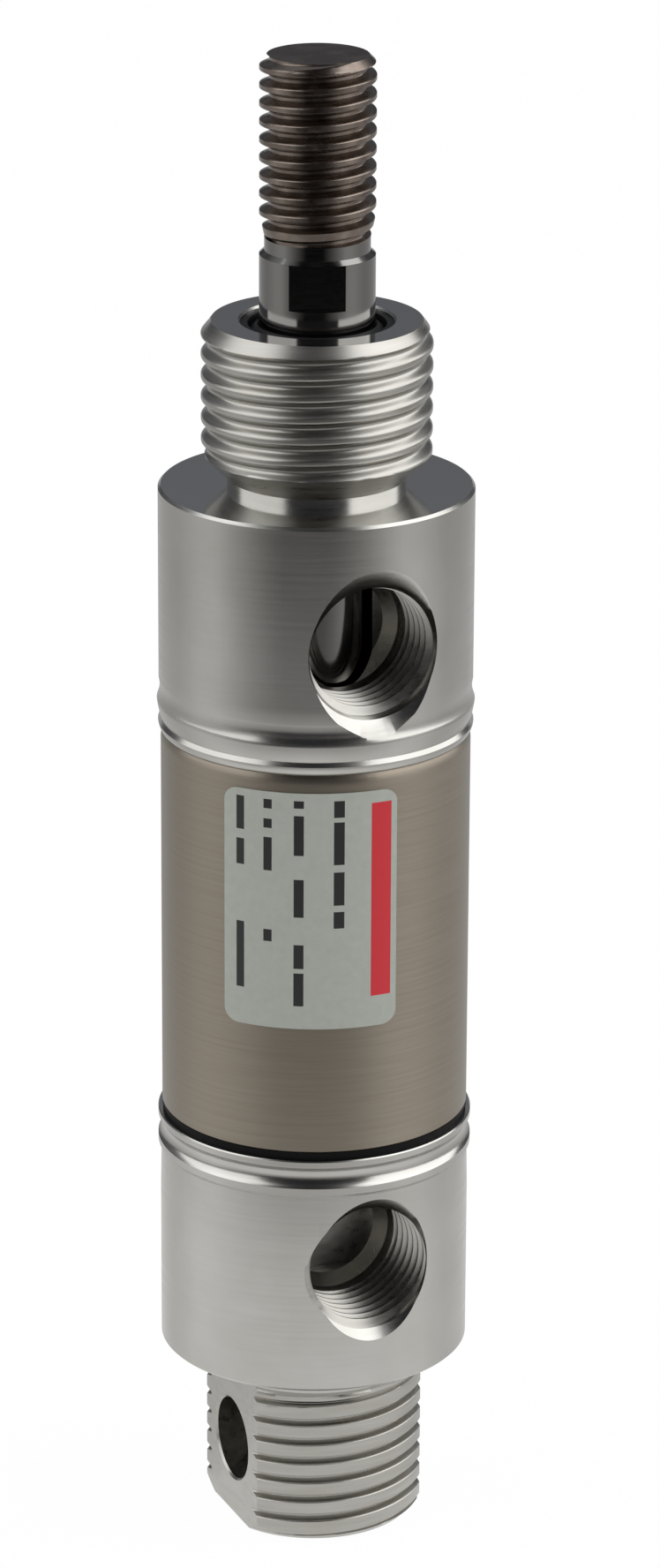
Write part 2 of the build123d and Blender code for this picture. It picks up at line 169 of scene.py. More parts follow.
lit = add(tree, "MixRGB", {
    0: ray.outputs["Is Diffuse Ray"], 1: room_seen.outputs[0], 2: colour("c8c8c8"),
})
sky = add(tree, "MixRGB", {
    0: ray.outputs["Is Camera Ray"], 1: lit.outputs[0], 2: colour("ffffff"),
})
room = add(tree, "Background", {"Color": sky.outputs[0], "Strength": 1.0})
add(tree, "OutputWorld", {"Surface": room.outputs[0]})
bpy.context.scene.world = world


def soft_box(name, azimuth, distance, width, low, high, radiance):
    """Upright area lamp between two heights that faces the cylinder. azimuth is counted in
    degrees from the camera to its right, and the power is radiance * pi * area."""
    data = bpy.data.lights.new(name, "AREA")
    data.shape = "RECTANGLE"
    data.size = width
    data.size_y = high - low
    data.energy = radiance * math.pi * width * (high - low)
    lamp = bpy.data.objects.new(name, data)
    turn = camera_turn + math.radians(azimuth)
    lamp.location = (distance * math.sin(turn), -distance * math.cos(turn), (low + high) / 2)
    away = lamp.location - Vector((0, 0, lamp.location.z))
    lamp.rotation_euler = away.to_track_quat("Z", "Y").to_euler()
    lamp.visible_camera = False
    bpy.context.scene.collection.objects.link(lamp)


soft_box("soft_box_left", azimuth=-78, distance=0.6, width=0.9, low=0.1, high=1.1, radiance=1.5)
soft_box("soft_box_right", azimuth=85, distance=0.6, width=1.1, low=0.08, high=1.4, radiance=2.0)

# The cloth covers more the further out it lies, as cloth_cover says at shares of cloth_reach.
# It covers most to the front, less to the sides and a little at the back.
cloth_material = bpy.data.materials.new("black_cloth")
cloth_material.use_nodes = True
tree = cloth_material.node_tree
tree.nodes.clear()
place = add(tree, "TexCoord").outputs["Object"]
reach = add(tree, "VectorMath", {0: place}, operation="LENGTH")
heading = add(tree, "VectorMath", {0: place}, operation="NORMALIZE")
front = add(tree, "VectorMath", {0: heading.outputs[0], 1: to_front}, operation="DOT_PRODUCT")
sideways = add(tree, "MapRange", {
    "Value": front.outputs["Value"], "From Min": dark_front[0], "From Max": dark_front[1],
    "To Min": cloth_side_cover, "To Max": 1.0,
})
reach_share = add(
    tree, "Math", {0: reach.outputs["Value"], 1: cloth_reach}, operation="DIVIDE",
)
outwards = add(tree, "ValToRGB", {0: reach_share.outputs[0]})
for share, black in cloth_cover:
    outwards.color_ramp.elements.new(share).color = (black, black, black, 1.0)
behind = add(tree, "MapRange", {
    "Value": front.outputs["Value"], "From Min": cloth_back[0], "From Max": cloth_back[1],
    "To Min": 0.0, "To Max": cloth_back_cover,
})
cover = add(
    tree, "Math", {0: sideways.outputs[0], 1: outwards.outputs[0], 2: behind.outputs[0]},
    operation="MULTIPLY_ADD", use_clamp=True,
)
clear = add(tree, "BsdfTransparent")
dyed = add(tree, "BsdfDiffuse", {"Color": colour("161617")})
surface = add(
    tree, "MixShader", {0: cover.outputs[0], 1: clear.outputs[0], 2: dyed.outputs[0]},
)
add(tree, "OutputMaterial", {"Surface": surface.outputs[0]})
cloth = level_square("black_cloth", cloth_half_size, cloth_height, cloth_material)
cloth.visible_camera = False
cloth.visible_diffuse = False
cloth.visible_shadow = False


# Rear cover: one piece of bright aluminium turned from bar. From the bottom it has a threaded
# stub with two milled flats and a cross hole for the pivot pin, the port body, and a grooved lip
# under the gasket; above that, the spigot with its O-ring groove sits inside the barrel.
cover_radius = 11.0
cover_edge = 0.2
cover_columns = 300
spigot_radius = 9.98
spigot_lead_in = 0.4
ring_groove_radius = 8.86
ring_groove_half_width = 0.8
buffer_seat_radius = 8.4
buffer_seat_depth = 0.8
stub_radius = 8.0
stub_chamfer = 0.8
stub_length = 13.35
stub_neck_radius = 7.8
stub_neck_start = 11.75
stub_neck_slope = 0.2
stub_flank = 1.35
m16_pitch = 1.5
flat_distance = 6.4
flat_depth = 3.0
flat_width = 20
pivot_radius = 3.0
pivot_height = 5.75
pivot_chamfer = 0.15
pivot_reach = 2.0
port_radius = 4.283
port_major_radius = 4.864
port_pitch = 0.907
port_floor_bevel = 0.8
rear_port_height = 22.4
rear_port_web = 2.7
rear_port_chamfer = 1.12
rear_port_phase = 0.3
rear_body_top = 24.98
rear_taper = (10.96, 27.1)
rear_waist = (10.94, 28.18)
rear_lip_radius = 11.165
rear_lip_start = 28.48
rear_bead_top = 28.98
rear_flange_bottom = 30.55
rear_groove_depth = 0.38
rear_shoulder = 30.88
rear_rim_top = 31.05
rear_rim_radius = 10.85
rear_rim_break = 0.08
rear_ring_height = 33.34
rear_spigot_top = 35.1
nut_chamber_radius = 6.02
nut_chamber_floor = 30.9
passage_radius = 1.3
passage_distance = 4.2
wall_rows = 16


def grid_mesh(name, points, first_cut, last_cut):
    """Mesh of quads between the rows and columns of a grid of points in mm, with its doubles
    merged. The rows of faces from first_cut up to last_cut get the second finish."""
    weld_distance = 2e-7
    sliver = 1e-8
    rows, columns = points.shape[:2]
    index = np.arange(rows * columns).reshape(rows, columns)
    quads = np.stack(
        [index[:-1, :-1], index[:-1, 1:], index[1:, 1:], index[1:, :-1]], axis=-1,
    ).reshape(-1, 4)
    finish = np.zeros((rows - 1, columns - 1), dtype=np.int32)
    finish[first_cut:last_cut] = 1
    mesh = bpy.data.meshes.new(name)
    mesh.vertices.add(rows * columns)
    mesh.vertices.foreach_set("co", (points * mm).astype(np.float32).ravel())
    mesh.loops.add(quads.size)
    mesh.loops.foreach_set("vertex_index", quads.astype(np.int32).ravel())
    mesh.polygons.add(len(quads))
    mesh.polygons.foreach_set("loop_start", np.arange(0, quads.size, 4, dtype=np.int32))
    mesh.polygons.foreach_set("material_index", finish.ravel())
    mesh.update(calc_edges=True)
    welded = bmesh.new()
    welded.from_mesh(mesh)
    bmesh.ops.remove_doubles(welded, verts=welded.verts, dist=weld_distance)
    bmesh.ops.dissolve_degenerate(welded, edges=welded.edges, dist=sliver)
    welded.to_mesh(mesh)
    welded.free()
    return mesh


def thread_radius(turn, thread):
    """Radius along a V thread. turn counts pitches from a crest. The triangle wave
    |2 frac(turn) - 1| is 1 at a crest and 0 in a root. Clipped by the shares of crest and root
    it gives the flank f, and roundness mixes f with f * f * (3 - 2 f)."""
    wave = np.abs(2 * np.mod(turn, 1.0) - 1)
    slope = 1 - thread["root_share"] - thread["crest_share"]
    flank = np.clip((wave - thread["root_share"]) / slope, 0, 1)
    eased = flank * flank * (3 - 2 * flank)
    depth = thread["crest"] - thread["root"]
    return thread["root"] + depth * (flank + thread["roundness"] * (eased - flank))


def turned(name, below, threaded, above, thread, columns, combine=np.minimum, cut_below=False,
           cut_above=False):
    """Closed turned surface about z, from profile points (radius, height). At angle a and height
    z it has the profile's radius. Along the threaded stretch the rows climb one pitch a turn,
    and the radius is the profile's combined with the thread's at z - start - pitch * a / (2 pi),
    so start is the height of a crest at angle 0. A thread's fade = (from, to) runs it out
    between two heights. The threaded faces get the second finish, and so do those below or
    above it where that is asked for."""
    crest_rows, flank_rows, root_rows = 3, 9, 2
    pitch, start = thread["pitch"], thread["start"]
    angle = np.linspace(0, 2 * math.pi, columns + 1)
    low, high = threaded[0][1], threaded[-1][1]
    crest_end = thread["crest_share"] / 2
    root_start = (1 - thread["root_share"]) / 2
    marks = np.concatenate([
        np.linspace(0, crest_end, crest_rows),
        np.linspace(crest_end, root_start, flank_rows)[1:],
        np.linspace(root_start, 0.5, root_rows)[1:],
    ])
    marks = np.concatenate([marks, 1 - marks[-2:0:-1]])
    first = math.floor((low - start) / pitch) - 2
    last = math.ceil((high - start) / pitch) + 1
    rows = (start + pitch * (np.arange(first, last)[:, None] + marks)).ravel()
    climb = pitch * angle / (2 * math.pi)
    height = np.clip(rows[:, None] + climb, low, high)
    profile = np.interp(height, [p[1] for p in threaded], [p[0] for p in threaded])
    ridge = thread_radius((height - start - climb) / pitch, thread)
    if "fade" in thread:
        begin, end = thread["fade"]
        gone = np.clip((height - begin) / (end - begin), 0, 1)
        outwards = 1 if combine is np.minimum else -1
        ridge = ridge + (thread["crest"] - thread["root"]) * outwards * gone
    radius = combine(profile, ridge)
    ring = np.ones_like(angle)
    radius = np.concatenate([[r * ring for r, z in below], radius, [r * ring for r, z in above]])
    height = np.concatenate([[z * ring for r, z in below], height, [z * ring for r, z in above]])
    points = np.stack([radius * np.cos(angle), radius * np.sin(angle), height], axis=-1)
    first_cut = 0 if cut_below else len(below)
    last_cut = None if cut_above else len(below) + len(rows) - 1
    return grid_mesh(name, points, first_cut, last_cut)


def arc(begin, end, bulge, count=9):
    """Profile points on a circular arc. With chord c and bulge b its radius is
    (c * c / 4 + b * b) / (2 b); a positive bulge lies to the right of the way from begin to
    end."""
    begin, end = np.array(begin), np.array(end)
    chord = np.linalg.norm(end - begin)
    along = (end - begin) / chord
    right = np.array([along[1], -along[0]])
    radius = (chord * chord / 4 + bulge * bulge) / (2 * bulge)
    sweep = math.asin(chord / 2 / radius)
    turn = np.linspace(-sweep, sweep, count)[:, None]
    outwards = right * (radius * np.cos(turn) - radius + bulge)
    points = (begin + end) / 2 + along * radius * np.sin(turn) + outwards
    return [tuple(point) for point in points.tolist()]


def placed(name, mesh, *finishes):
    """Puts a mesh into the scene as an object at the origin, with its finishes."""
    for finish in finishes:
        mesh.materials.append(finish)
    piece = bpy.data.objects.new(name, mesh)
    bpy.context.scene.collection.objects.link(piece)
    return piece


def cut(piece, *cutters, finish=None):
    """Cuts the closed cutters out of a closed piece and removes them. The cut faces get the
    finish of that number, or keep the numbers of their cutter."""
    for cutter in cutters:
        if finish is not None:
            count = len(cutter.data.polygons)
            numbers = np.full(count, finish, dtype=np.int32)
            cutter.data.polygons.foreach_set("material_index", numbers)
        for material in piece.data.materials:
            cutter.data.materials.append(material)
        tool = piece.modifiers.new("cut", "BOOLEAN")
        tool.operation = "DIFFERENCE"
        tool.solver = "MANIFOLD"
        tool.object = cutter
    graph = bpy.context.evaluated_depsgraph_get()
    result = bpy.data.meshes.new_from_object(piece.evaluated_get(graph))
    piece.modifiers.clear()
    piece.data = result
    for cutter in cutters:
        bpy.data.objects.remove(cutter)


def block(name, size, centre, turn=0.0):
    """Box of that size about centre, turned about z by turn radians. Its corners are centre plus
    half of size with each of the eight sign changes."""
    signs = np.array([(x, y, z) for x in (-1, 1) for y in (-1, 1) for z in (-1, 1)])
    corner = signs * np.array(size) / 2 + np.array(centre)
    c, s = math.cos(turn), math.sin(turn)
    corner = corner @ np.array([(c, s, 0), (-s, c, 0), (0, 0, 1)])
    mesh = bpy.data.meshes.new(name)
    faces = [(0, 1, 3, 2), (4, 6, 7, 5), (0, 4, 5, 1), (2, 3, 7, 6), (0, 2, 6, 4), (1, 5, 7, 3)]
    mesh.from_pydata((corner * mm).tolist(), [], faces)
    return placed(name, mesh)


def port_cutter(name, height, web, chamfer, phase):
    """Cutter for a tapped port along -y, from the web out: a bevelled floor, a G thread that
    runs out above it, and a countersink, steep up to its knee and flatter than 45 degrees out
    to the rim. The tap and drill leave all but the countersink duller."""
    wall_start = web + port_floor_bevel
    throat_depth = 0.93 * chamfer
    knee_width, knee_depth = 0.36 * chamfer, 0.5 * chamfer
    rim_slope = 1.28
    run_out = (1.6, 0.6)
    mouth = cover_radius - throat_depth
    knee = (port_radius + knee_width, cover_radius - knee_depth)
    beyond = 1.0
    outside = cover_radius + beyond
    port_thread = {
        "pitch": port_pitch, "start": phase, "crest": port_major_radius, "root": port_radius,
        "crest_share": 0.18, "root_share": 0.14, "roundness": 0.2,
        "fade": (wall_start + run_out[0], wall_start + run_out[1]),
    }
    mesh = turned(
        name,
        [(0, web), (port_radius - port_floor_bevel, web), (port_radius, wall_start)],
        [(port_radius, wall_start), (port_radius, mouth)],
        [knee, (port_radius + chamfer + rim_slope * beyond, outside), (0, outside)],
        port_thread, columns=160, combine=np.maximum, cut_below=True,
    )
    forwards = Matrix.Rotation(math.pi / 2, 4, "X")
    mesh.transform(Matrix.Translation((0, 0, height * mm)) @ forwards)
    return placed(name, mesh)


def shade(piece):
    """Smooth shading, with sharp edges where two faces meet at more than 30 degrees or have two
    finishes."""
    sharp_angle = math.radians(30)
    shape = bmesh.new()
    shape.from_mesh(piece.data)
    for face in shape.faces:
        face.smooth = True
    for edge in shape.edges:
        faces = edge.link_faces
        edge.smooth = len(faces) == 2 and edge.calc_face_angle(0) < sharp_angle \
            and faces[0].material_index == faces[1].material_index
    shape.to_mesh(piece.data)
    shape.free()


def new_finish(name, code, metallic, roughness):
    """Material of that name with its base colour, metallic and roughness set. Returns it, its
    tree and its shader."""
    material = bpy.data.materials.new(name)
    material.use_nodes = True
    tree = material.node_tree
    shader = tree.nodes["Principled BSDF"]
    shader.inputs["Base Color"].default_value = colour(code)
    shader.inputs["Metallic"].default_value = metallic
    shader.inputs["Roughness"].default_value = roughness
    return material, tree, shader


def vary(tree, shader, pattern, tones=None, spread=(0.0, 1.0), roughness=None, relief=None):
    """Varies a finish with a pattern of values between 0 and 1. The colour goes through the two
    tones as the pattern goes through spread. The roughness goes through its range as the pattern
    goes from 0.3 to 0.7, where most of a noise lies. relief = (strength, height) is a bump."""
    if tones:
        tone = add(tree, "ValToRGB", {0: pattern})
        for number in (0, 1):
            tone.color_ramp.elements[number].position = spread[number]
            tone.color_ramp.elements[number].color = colour(tones[number])
        tree.links.new(tone.outputs[0], shader.inputs["Base Color"])
    if roughness:
        gloss = add(tree, "MapRange", {
            "Value": pattern, "From Min": 0.3, "From Max": 0.7,
            "To Min": roughness[0], "To Max": roughness[1],
        })
        tree.links.new(gloss.outputs[0], shader.inputs["Roughness"])
    if relief:
        bump = add(tree, "Bump", {
            "Height": pattern, "Strength": relief[0], "Distance": relief[1],
        })
        tree.links.new(bump.outputs[0], shader.inputs["Normal"])


def lathe_lines(tree, spacing, along):
    """Noise that is even along a tool path and changes across it. Its vector is
    (radius, height) / spacing plus the direction round the axis * along, so walls get level
    lines and end faces get circles."""
    place = add(tree, "TexCoord").outputs["Object"]
    part = add(tree, "SeparateXYZ", {0: place})
    flat = add(tree, "CombineXYZ", {"X": part.outputs["X"], "Y": part.outputs["Y"]})
    radius = add(tree, "VectorMath", {0: flat.outputs[0]}, operation="LENGTH")
    facing = add(tree, "VectorMath", {0: flat.outputs[0]}, operation="NORMALIZE")
    spread = add(tree, "Math", {0: radius.outputs["Value"], 1: spacing}, operation="DIVIDE")
    rise = add(tree, "Math", {0: part.outputs["Z"], 1: spacing}, operation="DIVIDE")
    both = add(tree, "CombineXYZ", {"X": spread.outputs[0], "Y": rise.outputs[0]})
    round_axis = add(
        tree, "VectorMath", {0: facing.outputs[0], "Scale": along}, operation="SCALE",
    )
    turned_place = add(
        tree, "VectorMath", {0: both.outputs[0], 1: round_axis.outputs[0]}, operation="ADD",
    )
    return add(tree, "TexNoise", {
        "Vector": turned_place.outputs[0], "Scale": 1.0, "Detail": 2.0, "Roughness": 0.5,
    }).outputs[0]


# Bright turned aluminium: silver grey with faint clouds about 7 mm wide. The lathe tool's feed
# lines, drawn 0.35 mm apart so that they show, stretch each highlight along the axis. The faced
# ends, told by how straight up or down they face, are cut nearly to a mirror, so they are
# smoother. They also get a painted highlight: a paler colour for the brighter reflection they
# show.
cloud_size = 7.142857 * mm
end_facing = {"From Min": 0.85, "From Max": 0.99}
aluminium, tree, shader = new_finish("turned_aluminium", "b4b2ad", 1.0, 0.22)
feed_lines = lathe_lines(tree, 0.35 * mm, 1.2)
vary(tree, shader, feed_lines, relief=(0.35, 0.008 * mm))
place = add(tree, "TexCoord")
upright = add(tree, "SeparateXYZ", {0: place.outputs["Normal"]})
faced = add(tree, "Math", {0: upright.outputs["Z"]}, operation="ABSOLUTE")
gloss = add(tree, "MapRange", {
    "Value": feed_lines, "From Min": 0.3, "From Max": 0.7, "To Min": 0.19, "To Max": 0.26,
})
end_gloss = add(tree, "MapRange", {
    "Value": faced.outputs[0], **end_facing, "To Min": 1.0, "To Max": 0.45,
})
finish = add(
    tree, "Math", {0: gloss.outputs[0], 1: end_gloss.outputs[0]}, operation="MULTIPLY",
)
tree.links.new(finish.outputs[0], shader.inputs["Roughness"])
clouds = add(tree, "TexNoise", {
    "Vector": place.outputs["Object"], "Scale": 1 / cloud_size, "Detail": 4.0,
})
tone = add(tree, "ValToRGB", {0: clouds.outputs[0]})
tone.color_ramp.elements[0].position = 0.3
tone.color_ramp.elements[0].color = colour("aeaca6")
tone.color_ramp.elements[1].position = 0.7
tone.color_ramp.elements[1].color = colour("b9b7b3")
# Painted highlight: faces that point straight up or down are mixed to the paler colour dcdcda.
end_highlight_share = add(tree, "MapRange", {"Value": faced.outputs[0], **end_facing})
painted_end_highlight = add(tree, "MixRGB", {
    0: end_highlight_share.outputs[0], 1: tone.outputs[0], 2: colour("dcdcda"),
})
tree.links.new(painted_end_highlight.outputs[0], shader.inputs["Base Color"])

# Cut aluminium of the threads, flats and holes: the same metal, left a little duller by the
# cutters, whose lines are drawn 0.5 mm apart so that they show.
cut_aluminium, tree, shader = new_finish("cut_aluminium", "aaa8a2", 1.0, 0.3)
cutter_lines = lathe_lines(tree, 0.5 * mm, 1.5)
vary(tree, shader, cutter_lines, ("a29f98", "b0aea9"), (0.3, 0.7), roughness=(0.26, 0.36))

stub_thread = {
    "pitch": m16_pitch, "start": stub_flank + 0.25 * m16_pitch, "crest": stub_radius, "root": 7.5,
    "crest_share": 0.56, "root_share": 0.1, "roundness": 1.0, "fade": (10.6, 11.5),
}
rear_mesh = turned(
    "rear_cover_turned",
    [(0, 0), (flat_distance, 0)],
    [
        (stub_radius - stub_chamfer, 0), (stub_radius, stub_chamfer),
        (stub_radius, stub_neck_start - stub_neck_slope), (stub_neck_radius, stub_neck_start),
    ],
    [
        (stub_neck_radius, stub_length), (cover_radius - cover_edge, stub_length),
        *((cover_radius, z)
          for z in np.linspace(stub_length + cover_edge, rear_body_top, wall_rows)),
        rear_taper, rear_waist, (rear_lip_radius, rear_lip_start),
        *arc((rear_lip_radius, rear_bead_top), (rear_lip_radius, rear_flange_bottom),
             -rear_groove_depth, count=13),
        (rear_lip_radius, rear_rim_top - rear_rim_break),
        (rear_lip_radius - rear_rim_break, rear_rim_top),
        (rear_rim_radius, rear_rim_top), (rear_rim_radius, rear_shoulder),
        (spigot_radius, rear_shoulder),
        (spigot_radius, rear_ring_height - ring_groove_half_width),
        (ring_groove_radius, rear_ring_height - ring_groove_half_width),
        (ring_groove_radius, rear_ring_height + ring_groove_half_width),
        (spigot_radius, rear_ring_height + ring_groove_half_width),
        (spigot_radius, rear_spigot_top - spigot_lead_in),
        (spigot_radius - spigot_lead_in, rear_spigot_top),
        (buffer_seat_radius, rear_spigot_top),
        (buffer_seat_radius, rear_spigot_top - buffer_seat_depth),
        (nut_chamber_radius, rear_spigot_top - buffer_seat_depth),
        (nut_chamber_radius, nut_chamber_floor), (0, nut_chamber_floor),
    ],
    stub_thread, cover_columns,
)
rear_cover = placed("rear_cover_turned", rear_mesh, aluminium, cut_aluminium)
flats = [
    block("flat", (2 * flat_depth, flat_width, 2 * stub_length),
          (side * (flat_distance + flat_depth), 0, 0))
    for side in (-1, 1)
]

# The two plain holes are turned like the rest, with a thread of no radius that their wall hides.
no_thread = {
    "pitch": 10.0, "start": 0.0, "crest": 0.0, "root": 0.0,
    "crest_share": 0.125, "root_share": 0.25, "roundness": 1.0,
}
pivot_rim_radius = pivot_radius + pivot_chamfer + pivot_reach
pivot_end = flat_distance + pivot_reach
pivot_wall_end = flat_distance - pivot_chamfer
pivot = turned(
    "pivot", [(0, -pivot_end), (pivot_rim_radius, -pivot_end)],
    [(pivot_radius, -pivot_wall_end), (pivot_radius, pivot_wall_end)],
    [(pivot_rim_radius, pivot_end), (0, pivot_end)],
    no_thread, columns=96, combine=np.maximum,
)
across = Matrix.Rotation(math.pi / 2, 4, "Y")
pivot.transform(Matrix.Translation((0, 0, pivot_height * mm)) @ across)
passage = turned(
    "passage", [(0, rear_port_height)],
    [(passage_radius, rear_port_height), (passage_radius, rear_spigot_top)],
    [(0, rear_spigot_top)],
    no_thread, columns=48, combine=np.maximum,
)
passage.transform(Matrix.Translation((0, -passage_distance * mm, 0)))
cut(rear_cover, *flats, placed("pivot", pivot), placed("passage", passage), finish=1)
cut(rear_cover, port_cutter(
    "rear_port_cut", rear_port_height, rear_port_web, rear_port_chamfer, rear_port_phase,
))
shade(rear_cover)
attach(rear_cover, "housing")
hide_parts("rear_cover")


# Front cover: the same bright turned aluminium. It carries the threaded nose, which holds the
# rod seal and the bush, the port body, and a rolled lip that closes over the barrel's end.
nose_radius = 8.0
nose_neck_radius = 6.2
nose_neck_length = 0.6
nose_lead_in = 2.4
nose_chamfer_height = 0.9
nose_chamfer_width = 0.7
nose_top = 88.9
nose_flank = 79.46
shoulder = 77.2
barrel_top = 59.5
lip_edge = ((10.78, barrel_top), (11.05, barrel_top + 0.65))
lip_edge_bulge = 0.06
lip_roll = ((10.86, barrel_top + 0.95), (11.13, barrel_top + 2.2))
lip_roll_bulge = 0.03
lip_top = barrel_top + 3.8
lip_hollow = 0.13
front_spigot_bottom = 55.2
front_ring_height = 57.35
rod_bore_radius = 4.5
bush_radius = 5.03
seal_seat_radius = 5.3
seal_seat = 84.5
bush_seat = 74.88
seal_mouth_break = 0.15
front_port_height = 68.0
front_port_web = 3.6
front_port_chamfer = 1.72
front_port_phase = 0.5

nose_thread = {
    "pitch": m16_pitch, "start": nose_flank + 0.25 * m16_pitch, "crest": nose_radius, "root": 7.5,
    "crest_share": 0.14, "root_share": 0.06, "roundness": 1.0,
}
front_mesh = turned(
    "front_cover_turned",
    [
        (rod_bore_radius, bush_seat), (rod_bore_radius, front_spigot_bottom + buffer_seat_depth),
        (buffer_seat_radius, front_spigot_bottom + buffer_seat_depth),
        (buffer_seat_radius, front_spigot_bottom),
        (spigot_radius - spigot_lead_in, front_spigot_bottom),
        (spigot_radius, front_spigot_bottom + spigot_lead_in),
        (spigot_radius, front_ring_height - ring_groove_half_width),
        (ring_groove_radius, front_ring_height - ring_groove_half_width),
        (ring_groove_radius, front_ring_height + ring_groove_half_width),
        (spigot_radius, front_ring_height + ring_groove_half_width),
        (spigot_radius, barrel_top),
        *arc(*lip_edge, lip_edge_bulge),
        *arc(*lip_roll, lip_roll_bulge),
        *arc(lip_roll[1], (cover_radius, lip_top), -lip_hollow)[1:-1],
        *((cover_radius, z) for z in np.linspace(lip_top, shoulder - cover_edge, wall_rows)),
        (cover_radius - cover_edge, shoulder), (nose_neck_radius, shoulder),
        (nose_neck_radius, shoulder + nose_neck_length),
    ],
    [
        (nose_neck_radius, shoulder + nose_neck_length), (nose_radius, shoulder + nose_lead_in),
        (nose_radius, nose_top - nose_chamfer_height),
        (nose_radius - nose_chamfer_width, nose_top),
    ],
    [
        (seal_seat_radius + seal_mouth_break, nose_top),
        (seal_seat_radius, nose_top - seal_mouth_break),
        (seal_seat_radius, seal_seat), (bush_radius, seal_seat), (bush_radius, bush_seat),
        (rod_bore_radius, bush_seat),
    ],
    nose_thread, cover_columns,
)
front_cover = placed("front_cover_turned", front_mesh, aluminium, cut_aluminium)
cut(front_cover, port_cutter(
    "front_port_cut", front_port_height, front_port_web, front_port_chamfer, front_port_phase,
))
shade(front_cover)
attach(front_cover, "housing")
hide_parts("front_cover")


# Barrel: a drawn stainless steel tube, polished round with a fine belt, which leaves a warm
# grey satin sheen with level scratches, drawn 0.25 mm apart so that they show.
stainless, tree, shader = new_finish("belt_polished_stainless", "8b8378", 1.0, 0.38)
shader.inputs["Anisotropic"].default_value = 0.6
shader.inputs["Anisotropic Rotation"].default_value = 0.25
around = add(tree, "Tangent", direction_type="RADIAL", axis="Z")
tree.links.new(around.outputs[0], shader.inputs["Tangent"])
belt_lines = lathe_lines(tree, 0.25 * mm, 1.5)
vary(tree, shader, belt_lines, ("8c8376", "938b7f"), (0.3, 0.7), roughness=(0.36, 0.4),
     relief=(0.15, 0.004 * mm))
nodes["barrel"].material_slots[0].material = stainless


# Gasket, O-rings and buffers: moulded nitrile rubber. It is a matt black with a faint grain
# from the mould, drawn 0.3 mm wide, and the gasket's edge shows as a thin black line under the
# barrel.
rubber, tree, shader = new_finish("moulded_nitrile_rubber", "131313", 0.0, 0.55)
shader.inputs["Specular IOR Level"].default_value = 0.1
grain = add(tree, "TexNoise", {
    "Vector": add(tree, "TexCoord").outputs["Object"], "Scale": 1 / (0.3 * mm), "Detail": 4.0,
})
vary(tree, shader, grain.outputs[0], ("070707", "101010"), roughness=(0.45, 0.65),
     relief=(0.3, 0.02 * mm))
for name in (
    "rear_gasket", "rear_cover_ring", "front_cover_ring", "rear_buffer", "front_buffer",
    "rod_ring",
):
    nodes[name].material_slots[0].material = rubber


# Rod bush: sintered bronze, pressed from powder, soaked in oil and pressed into the nose. It is
# a brownish gold with fine pores, drawn 0.2 mm apart.
bronze, tree, shader = new_finish("sintered_bronze", "8c6a40", 1.0, 0.42)
pores = add(tree, "TexVoronoi", {
    "Vector": add(tree, "TexCoord").outputs["Object"], "Scale": 1 / (0.2 * mm),
})
vary(tree, shader, pores.outputs["Distance"], ("4e3a22", "94714a"), (0.1, 0.35),
     relief=(0.3, 0.03 * mm))
nodes["rod_bush"].material_slots[0].material = bronze


# Rod seal and piston seals: cast polyurethane, snapped into their grooves. It is black and
# smoother than the rubber, with a slight wax bloom in patches about 1.5 mm wide.
polyurethane, tree, shader = new_finish("cast_polyurethane", "151516", 0.0, 0.35)
shader.inputs["Specular IOR Level"].default_value = 0.2
bloom = add(tree, "TexNoise", {
    "Vector": add(tree, "TexCoord").outputs["Object"], "Scale": 1 / (1.5 * mm), "Detail": 5.0,
})
vary(tree, shader, bloom.outputs[0], ("101011", "1d1d1f"), roughness=(0.28, 0.42))
for name in ("rod_seal", "rear_piston_seal", "front_piston_seal"):
    nodes[name].material_slots[0].material = polyurethane


# Piston rod: carbon steel, ground, hard chromed and polished to a grey mirror, with two wrench
# flats. The rolled M8 thread is darker. Its tenon carries the piston.
rod_radius = 4.0
rod_pitch = 1.25
rod_flank = 105.64
rod_top = 107.35
rod_chamfer = 0.5
rod_centre_radius = 2.5
rod_columns = 200
thread_bottom = 95.05
thread_step = 0.05
thread_full = 96.4
relief_bottom = 93.55
relief_slope = 0.3
relief_radius = 3.65
piston_top = 44.25
tenon_radius = 2.5
tenon_end = 32.0
tenon_chamfer = 0.4
rod_flat_distance = 3.5
rod_flat_length = 3.2
rod_flat_turn = math.radians(-23.0)
rod_flat_depth = 2.0
rod_flat_width = 12
below_rod_flats = 1.0

# The chrome's polishing lines are far finer in life than the 0.2 mm drawn here so that they show.
chrome, tree, shader = new_finish("polished_hard_chrome", "807e7b", 1.0, 0.12)
polish_lines = lathe_lines(tree, 0.2 * mm, 2.0)
vary(tree, shader, polish_lines, roughness=(0.1, 0.15), relief=(0.2, 0.004 * mm))

# Rolled steel of the thread: bare and oiled, a dark brown grey whose tone shifts in patches
# about a millimetre wide.
oiled_steel, tree, shader = new_finish("rolled_oiled_steel", "7b7068", 1.0, 0.24)
patches = add(tree, "TexNoise", {
    "Vector": add(tree, "TexCoord").outputs["Object"], "Scale": 1 / (1.2 * mm), "Detail": 3.0,
})
vary(tree, shader, patches.outputs[0], ("6c6159", "8a7f77"), (0.3, 0.7), roughness=(0.2, 0.3))

